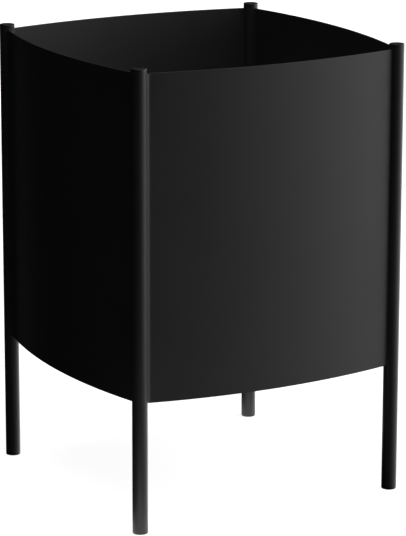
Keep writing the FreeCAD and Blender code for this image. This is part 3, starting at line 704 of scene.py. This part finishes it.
def model_screw():
    """A button-head screw with a hexagon socket, and thread showing under the nut."""
    low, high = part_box("floor_screws")
    seat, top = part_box("floor_plate")[1].z, high.z
    shank, head = 3 * MM, 5.25 * MM
    skirt, dome = 0.7 * MM, 2.6 * MM
    place = Vector((low.x + head, low.y + head, 0))
    rows = [(shank - 0.6 * MM, low.z), (shank, low.z + 0.5 * MM)]
    pitch = 1 * MM
    thread = low.z + 0.5 * MM
    while thread < LUG_LOW:
        rows += [(shank - 0.45 * pitch, thread + 0.45 * pitch), (shank, thread + 0.9 * pitch)]
        thread += pitch
    rows += [(shank, seat), (head, seat), (head, seat + skirt)]
    for step in range(1, 6):
        lean = step * QUARTER / 5
        rows.append((head - dome * (1 - math.cos(lean)), seat + skirt + dome * math.sin(lean)))
    screw = turned("floor_screw", place, rows, sides=36)
    key = start(
        "cylinder",
        "key",
        (place.x, place.y, top),
        vertices=6,
        depth=4 * MM,
        radius=2 * MM / math.cos(math.pi / 6),
    )
    modify(screw, "BOOLEAN", object=key, operation="DIFFERENCE", solver="EXACT")
    bpy.data.objects.remove(key)
    smooth_below(screw, 35)
    return screw


def model_buffer():
    """A push-in rubber buffer with a soft domed head and its barb under the plate."""
    low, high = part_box("buffer_front_left")
    place, seat = middle("buffer_front_left"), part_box("floor_plate")[1].z
    head, neck, barb = (high.x - low.x) / 2, 4 * MM, 6 * MM
    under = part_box("floor_plate")[0].z - 0.1 * MM
    rows = [(neck - 1 * MM, low.z), (barb, under), (neck, under), (neck, seat)]
    rows += [(head, seat), (head, high.z)]
    rows += [(head - 3 * MM, high.z), (head - 4 * MM, high.z - 0.5 * MM)]
    piece = turned("buffer", place, rows, sides=48)
    return soften(piece, 0.6 * MM, segments=3)


def build_floor_fixings():
    """Screws, nuts and rubber buffers."""
    screws = joined(four_times(model_screw(), "screw", CORNERS), "button_screws")
    finish_piece(screws, ZINC, "zinc_plated_steel", "casing", "floor_screws")
    nuts = dressed_copy("floor_nuts", "hexagon_nuts", 0.35 * MM)
    finish_piece(nuts, ZINC, "zinc_plated_steel", "casing", "floor_nuts")
    for piece, corner in zip(four_times(model_buffer(), "rubber_buffer", CORNERS), CORNERS):
        finish_piece(piece, RUBBER, "black_rubber", "casing", f"buffer_{corner}")


# ---------------------------------------------------------------- liner

HANDLE_WIDTH = 120 * MM
WIRE_BEND = 9 * MM
CLIP_STRIP = 1.5 * MM
RIVET_HEAD = 1.6 * MM


def model_liner_walls():
    """One sheet folded round to a square with round corners, open at the top and bottom."""
    height = LINER_HIGH - LINER_LOW
    wide = 2 * LINER_HALF
    place = (0, 0, (LINER_LOW + LINER_HIGH) / 2)
    walls = start("cube", "liner_sheet", place, size=(wide, wide, height))
    with editing(walls):
        pick(walls, "EDGE", lambda e: abs(e.verts[0].co.z - e.verts[1].co.z) > height / 2)
        bpy.ops.mesh.bevel(offset=LINER_CORNER, segments=14, affect="EDGES")
        pick(walls, "FACE", lambda f: abs(f.normal.z) > 0.9)
        bpy.ops.mesh.delete(type="ONLY_FACE")
    modify(walls, "SOLIDIFY", thickness=LINER_SHEET, offset=-1.0, use_even_offset=True)
    return soften(walls, 0.2 * MM)


def model_lap_seam():
    """The lap up the back wall where the sheet's two ends are spot welded together."""
    low, high = LINER_LOW + 2 * MM, LINER_HIGH - 7.5 * MM
    off_centre, width = 60 * MM, 16 * MM
    place = (off_centre, LINER_HALF + 0.45 * MM, (low + high) / 2)
    lap = start("cube", "lap", place, size=(width, LINER_SHEET, high - low))
    soften(lap, 0.3 * MM)
    dimple = [(2.8 * MM, 0), (2.5 * MM, 0.22 * MM), (1.6 * MM, 0.3 * MM), (1.2 * MM, 0.12 * MM)]
    spots = []
    count = 8
    for i in range(count):
        height = low + (i + 0.5) * (high - low) / count
        spot = turned("spot", (0, 0), dimple, sides=16)
        spot.rotation_euler.x = -QUARTER
        spot.location = (off_centre, LINER_HALF + 0.85 * MM, height)
        settle(spot)
        bpy.ops.object.shade_smooth()
        spots.append(spot)
    return joined([lap, *spots], "liner_lap_seam")


def model_handle(side):
    """A drop handle of round wire: pivot, side, grip, side and pivot."""
    low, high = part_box(f"handle_{side}")
    radius, bend = (high.x - low.x) / 2, WIRE_BEND
    pivot, grip = high.z - radius, low.z + radius
    half_reach, half_width = high.y, HANDLE_WIDTH / 2
    x = middle(f"handle_{side}").x
    place = Vector((x, -half_reach, pivot))
    wire = start(
        "circle",
        f"drop_handle_{side}",
        place,
        turn=(QUARTER, 0, 0),
        vertices=24,
        radius=radius,
        fill_type="NGON",
    )
    axis, along = Vector((1, 0, 0)), Vector((0, 1, 0))
    stub = half_reach - half_width - bend
    side_run = pivot - grip - 2 * bend
    grip_run = 2 * (half_width - bend)
    # Each leg of the path: way of the run, its length, and the way and sense of the bend after it.
    path = [
        (along, stub, -UP, -1),
        (-UP, side_run, along, 1),
        (along, grip_run, UP, 1),
        (UP, side_run, along, -1),
        (along, stub, None, 0),
    ]
    at = place.copy()
    with editing(wire):
        bpy.ops.mesh.select_all(action="SELECT")
        for way, length, turn, sense in path:
            extrude(way * length)
            at += way * length
            if turn is not None:
                spin(sense * QUARTER, at + turn * bend, steps=10, axis=axis)
                at += (way + turn) * bend
    clean(wire)
    return soften(wire, 0.5 * MM, segments=3)


def model_rivets():
    """Eight domed rivets: heads on the clips' flanges, set tails on the outside of the walls."""
    low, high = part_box("clip_rivets")
    clip_low, clip_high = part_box("clip_right_back")
    inner_wall = LINER_HALF - LINER_SHEET
    flange_face = inner_wall - CLIP_STRIP
    head = flange_face - RIVET_HEAD
    tail = high.x
    profile = [
        (0.4 * MM, head),
        (1.6 * MM, head + 0.12 * MM),
        (2.8 * MM, head + 0.45 * MM),
        (3.6 * MM, head + 0.95 * MM),
        (4 * MM, flange_face),
        (2 * MM, flange_face),
        (2 * MM, LINER_HALF),
        (3 * MM, LINER_HALF),
        (2.8 * MM, tail),
        (1.2 * MM, tail),
    ]
    middle_z = (clip_low.z + clip_high.z) / 2
    offset = (high.z - low.z) / 2 - 4 * MM
    along = (clip_low.y + clip_high.y) / 2
    made = []
    for way in (-1, 1):
        for y in (-along, along):
            for z in (middle_z - offset, middle_z + offset):
                rivet = turned("rivet", (0, 0), profile, sides=24)
                rivet.rotation_euler.y = way * QUARTER
                rivet.location = (0, y, z)
                settle(rivet)
                smooth_below(rivet, 35)
                made.append(rivet)
    return joined(made, "dome_rivets")


def build_liner():
    """The liner, its hoop, its weld, its two drop handles, their clips and rivets."""
    sheet = (GALVANISED, "galvanised_steel", "liner")
    bar = (GALVANISED_BAR, "galvanised_steel", "liner")
    finish_piece(model_liner_walls(), *sheet, "liner_walls")
    finish_piece(model_lap_seam(), *sheet)
    finish_piece(dressed_copy("liner_base", "liner_bottom", 0.2 * MM), *sheet, "liner_base")
    rim_low, rim_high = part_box("liner_rim")
    radius = (rim_high.z - rim_low.z) / 2
    half = rim_high.x - radius
    corner = LINER_CORNER + half - LINER_HALF
    height = rim_high.z - radius
    hoop = square_sweep("rim_hoop", radius, half, corner, height, sides=24, steps=16)
    activate(hoop)
    bpy.ops.object.shade_smooth()
    finish_piece(hoop, *bar, "liner_rim")
    inset = LINER_SHEET + 0.4 * MM
    bead = square_sweep(
        "base_weld",
        1.2 * MM,
        LINER_HALF - inset,
        LINER_CORNER - inset,
        LINER_LOW + LINER_SHEET + 0.3 * MM,
    )
    activate(bead)
    bpy.ops.object.shade_smooth()
    finish_piece(bead, *bar)
    for side in ("left", "right"):
        handle = f"handle_{side}"
        finish_piece(model_handle(side), ZINC, "zinc_plated_steel", handle, handle)
        for end in ("front", "back"):
            node = f"clip_{side}_{end}"
            clip = dressed_copy(node, f"pivot_{node}", 0.25 * MM)
            finish_piece(clip, ZINC, "zinc_plated_steel", "liner", node)
    finish_piece(model_rivets(), ALUMINIUM, "aluminium", "liner", "clip_rivets")


# ---------------------------------------------------------------- studio

VIEW_YAW, VIEW_PITCH, VIEW_ROLL = (math.radians(angle) for angle in (29.145, 14.213, 0.12))
VIEW_PLACE = (-1.9579, -3.5259, 1.3238)
# The lens and the width of the film are in millimetres, the studio's sizes in metres.
LENS, FILM = 196.2, 36.0
SURROUND_RADIUS = 29
FLOOR_WIDTH = 60


def lit(name, strength, colour="#000000", roughness=1.0):
    """A white light-giving surface for the studio."""
    material, _, _ = surface(
        name,
        Base_Color=linear(colour),
        Roughness=roughness,
        Emission_Color=linear("#ffffff"),
        Emission_Strength=strength,
    )
    return material


def build_floor():
    """A pale floor and a white surround that only the camera sees, so the coat stays deep."""
    floor = start("plane", "studio_floor", size=(FLOOR_WIDTH, FLOOR_WIDTH, 1))
    floor.data.materials.append(lit("matt_white_floor", 0.88, "#c8c8c6", 0.95))
    dome = start(
        "uv_sphere", "studio_surround", segments=48, ring_count=24, radius=SURROUND_RADIUS
    )
    dome.data.materials.append(lit("lit_white_surround", 1.0))
    for piece in (floor, dome):
        for ray in ("diffuse", "glossy", "transmission", "volume_scatter", "shadow"):
            setattr(piece, f"visible_{ray}", False)


def build_reflectors():
    """Two small pale cards on the floor, along the view: by the front leg and by the back one.

    The camera doesn't see them. They lift the feet of these two legs out of the dark.
    """
    ahead, behind, wide = 0.22, 0.04, 0.12
    along = Vector((math.sin(VIEW_YAW), math.cos(VIEW_YAW), 0))
    size = (wide, ahead + behind, 1)
    material = lit("lit_reflector_card", 1.5)
    front_foot = Vector((LEG.x, LEG.y, 0))
    for name, foot in (("front", front_foot), ("back", -front_foot)):
        place = foot + along * (behind - ahead) / 2 - UP * 0.5 * MM
        card = start("plane", f"reflector_{name}", place, size=size, turn=(0, 0, -VIEW_YAW))
        card.data.materials.append(material)
        card.visible_camera = card.visible_shadow = False


def compass(azimuth, elevation):
    """A direction from two angles: azimuth 0 is out from the front panel, 90 out from the right."""
    a, e = math.radians(azimuth), math.radians(elevation)
    return (math.sin(a) * math.cos(e), -math.cos(a) * math.cos(e), math.sin(e))


# Soft boxes as azimuth, elevation and strength. Each is full within one angle of its middle and
# fades to nothing at another.
SOFT_BOXES = [
    (60, 10, 1.6),
    (90, 10, 1.9),
    (60, 40, 0.9),
    (30, 40, 0.35),
    (0, 40, 0.3),
    (60, -20, 0.35),
    (30, -20, 0.2),
    (-90, 40, 0.15),
    (-20, 80, 1.8),
    (120, -20, 3.0),
    (150, -20, 0.4),
]
FULL_ANGLE, FADED_ANGLE = 5, 35
DARK_STUDIO = 0.003


def build_light():
    """Large soft boxes on the right, level with the bin or low behind it, and one overhead.

    Weak ones in front and on the left keep those sides from going quite black.
    """
    world = bpy.data.worlds.new("studio_light")
    bpy.context.scene.world = world
    world.use_nodes = True
    tree = world.node_tree
    tree.nodes.clear()
    way = add(tree, "TexCoord", "Generated")
    total = DARK_STUDIO
    for azimuth, elevation, strength in SOFT_BOXES:
        aim = compass(azimuth, elevation)
        lean = add(tree, "VectorMath", "Value", {0: way, 1: aim}, operation="DOT_PRODUCT")
        inputs = {
            "Value": lean,
            "From Min": math.cos(math.radians(FADED_ANGLE)),
            "From Max": math.cos(math.radians(FULL_ANGLE)),
            "To Max": strength,
        }
        box = add(tree, "MapRange", "Result", inputs, interpolation_type="SMOOTHSTEP")
        total = add(tree, "Math", "Value", {0: total, 1: box}, operation="ADD")
    sky = add(tree, "Background", "Background", {"Color": linear("#ffffff"), "Strength": total})
    add(tree, "OutputWorld", inputs={"Surface": sky})


def build_camera():
    """A long lens from the front left, a little above the rim."""
    data = bpy.data.cameras.new("camera")
    data.lens = LENS
    data.sensor_width = FILM
    data.clip_start, data.clip_end = 0.1, 100.0
    camera = bpy.data.objects.new("camera", data)
    bpy.context.scene.collection.objects.link(camera)
    turn = Matrix.Rotation(-VIEW_YAW, 4, "Z") @ Matrix.Rotation(QUARTER - VIEW_PITCH, 4, "X")
    camera.matrix_world = (
        Matrix.Translation(VIEW_PLACE) @ turn @ Matrix.Rotation(VIEW_ROLL, 4, "Z")
    )
    bpy.context.scene.camera = camera


build_casing()
build_floor_fixings()
build_liner()
build_floor()
build_reflectors()
build_light()
build_camera()
bpy.context.scene.view_settings.view_transform = "Standard"
